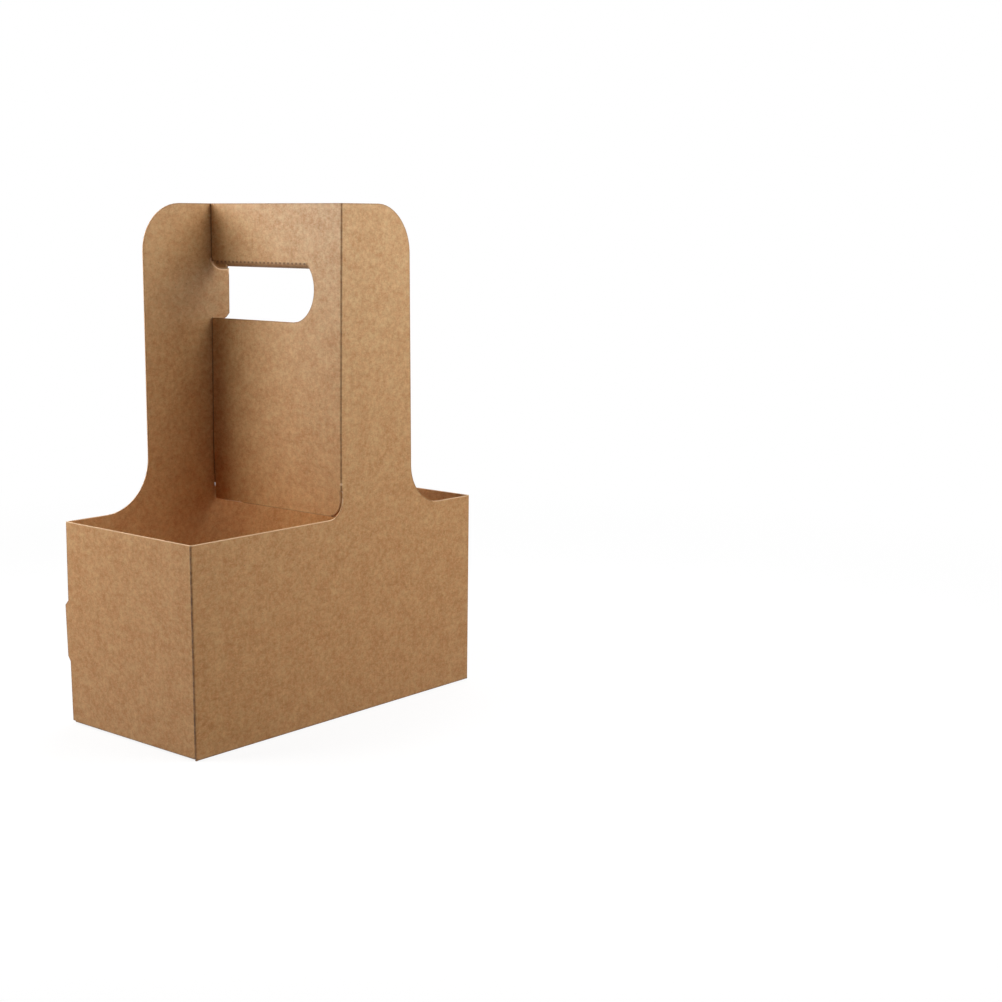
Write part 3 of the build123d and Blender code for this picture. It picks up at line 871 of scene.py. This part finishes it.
# Cut faces show the board's core, paler, with layers that run along the cut.
def cutFinish(material):
    tree, shader = boardShader(material)
    place = addNode(tree, "TexCoord").outputs["Object"]
    inMm = addNode(tree, "VectorMath", {0: place, "Scale": 1000.0}, operation="SCALE").outputs[0]
    group = addNode(tree, "Group", node_tree=fibres)
    group.inputs["Clouds"].default_value = 1.0
    tree.links.new(inMm, group.inputs["Place"])
    # Cut faces of the rim and the tab's top keep the pale core, partly a painted highlight of the lit edge;
    # other cut faces are mixed towards the deep brown
    palePart = ramped(tree, attribute(tree, "cutPale"), 0.2, 0.8)
    tone = mixed(tree, group.outputs["Tone"], finish["cutDeep"], finish["cut"])
    colour = mixed(tree, palePart, mixed(tree, 0.65, tone, finish["deep"]), tone)
    tree.links.new(colour, shader.inputs["Base Color"])
    shader.inputs["Roughness"].default_value = finish["cutRoughness"]
    addRelief(tree, shader, group.outputs["Height"])


boardFinish(sheet.data.materials[0])
cutFinish(sheet.data.materials[1])
print("finish done")

# Camera at the photograph's viewing angle, from its direction vectors in the row frame.
view = {
    "place": (-544.58, -598.75, 233.54),
    "right": (0.64424, -0.76481, 0.00485),
    "down": (-0.12320, -0.11003, -0.98626),
    "forward": (0.75483, 0.63479, -0.16511),
    "lens": 60.67,
}


def makeCamera():
    data = bpy.data.cameras.new("camera")
    data.sensor_width = 36.0
    data.lens = view["lens"]
    data.clip_start = 0.02
    data.clip_end = 20.0
    camera = bpy.data.objects.new("camera", data)
    bpy.context.scene.collection.objects.link(camera)
    right, down, forward = (np.array(view[name]) for name in ("right", "down", "forward"))
    turned = Matrix.Identity(4)
    for row in range(3):
        turned[row][:] = (right[row], -down[row], -forward[row], view["place"][row] * mm)
    camera.matrix_world = turned
    bpy.context.scene.camera = camera


makeCamera()

# Lamps of the plain studio: place in m, side of the square in m, and power in W
lamps = {
    "backLeft": ((-0.3, 0.2, 0.35), 0.25, 1.59),
    "front": ((0.12, -0.35, 0.45), 0.3, 1.23),
    "frontRight": ((0.25, -0.4, 0.35), 0.35, 0.62),
    "highRight": ((0.724, -0.418, 1.116), 0.8, 3.1),
    "lowBackLeft": ((-0.943, 1.124, 0.432), 0.9, 2.22),
    "highBackRight": ((0.724, 0.418, 1.116), 0.8, 5.97),
    "highBack": ((0.0, 0.836, 1.116), 0.8, 1.79),
}
lampAim = Vector((0, 0, 0.12))


# A square lamp that points at the middle of the carrier.
def squareLamp(name, place, side, power):
    data = bpy.data.lights.new(name, "AREA")
    data.shape = "SQUARE"
    data.size = side
    data.energy = power
    lamp = bpy.data.objects.new(name, data)
    bpy.context.scene.collection.objects.link(lamp)
    direction = lampAim - Vector(place)
    lamp.matrix_world = Matrix.Translation(place) @ direction.to_track_quat("-Z", "Y").to_matrix().to_4x4()
    lamp.visible_camera = False


for name, (place, side, power) in lamps.items():
    squareLamp(name, place, side, power)


# 1 for the rays that should meet a white background, and 0 for those that light the object.
def seenWhite(tree):
    path = addNode(tree, "LightPath")
    both = maths(tree, "MAXIMUM", path.outputs["Is Camera Ray"], path.outputs["Is Glossy Ray"])
    return maths(tree, "MAXIMUM", both, path.outputs["Is Transmission Ray"])


def makeWorld():
    world = bpy.data.worlds.new("studio")
    bpy.context.scene.world = world
    world.use_nodes = True
    tree = world.node_tree
    tree.nodes.clear()
    background = addNode(tree, "Background", {"Color": (1, 1, 1, 1), "Strength": seenWhite(tree)})
    tree.links.new(background.outputs[0], addNode(tree, "OutputWorld").inputs["Surface"])


# The floor takes the object's shadow near it and is plain white further out. Lengths are in m.
floorLook = {
    "half": 6.0,               # half the floor's side
    "below": 0.0002,           # under the carrier's foot
    "near": 0.22,              # the white comes up between these distances from the carrier
    "far": 0.7,
    "shade": 0.86,             # glow of the floor near the carrier
    "tint": 0.16,              # and the share of the lamps' light that it shows there
    "bounce": 0.3,             # brightness of the floor for the light that it throws back
}


def makeFloor():
    mesh = bpy.data.meshes.new("floor")
    half = floorLook["half"]
    corners = [(-half, -half, 0), (half, -half, 0), (half, half, 0), (-half, half, 0)]
    mesh.from_pydata(corners, [], [(0, 1, 2, 3)])
    mesh.transform(Matrix.Translation((0, 0, -floorLook["below"])))
    floor = bpy.data.objects.new("floor", mesh)
    bpy.context.scene.collection.objects.link(floor)
    material = bpy.data.materials.new("floorWhite")
    mesh.materials.append(material)
    material.use_nodes = True
    tree = material.node_tree
    tree.nodes.clear()
    place = addNode(tree, "TexCoord").outputs["Object"]
    reach = addNode(tree, "VectorMath", {0: place}, operation="LENGTH").outputs["Value"]
    glow = ramped(tree, reach, floorLook["near"], floorLook["far"], floorLook["shade"], 1.0)
    tint = ramped(tree, reach, floorLook["near"], floorLook["far"], floorLook["tint"], 0.0)
    shown = addNode(tree, "BsdfDiffuse", {"Color": mixed(tree, tint, (0, 0, 0, 1), (1, 1, 1, 1))})
    white = addNode(tree, "Emission", {"Color": (1, 1, 1, 1), "Strength": glow})
    both = addNode(tree, "AddShader", {0: shown.outputs[0], 1: white.outputs[0]})
    lighting = addNode(tree, "BsdfDiffuse", {"Color": (floorLook["bounce"],) * 3 + (1,)})
    choice = addNode(tree, "MixShader", {0: seenWhite(tree), 1: lighting.outputs[0], 2: both.outputs[0]})
    tree.links.new(choice.outputs[0], addNode(tree, "OutputMaterial").inputs["Surface"])


makeWorld()
makeFloor()
print("studio done")

bpy.context.scene.view_settings.view_transform = "Standard"
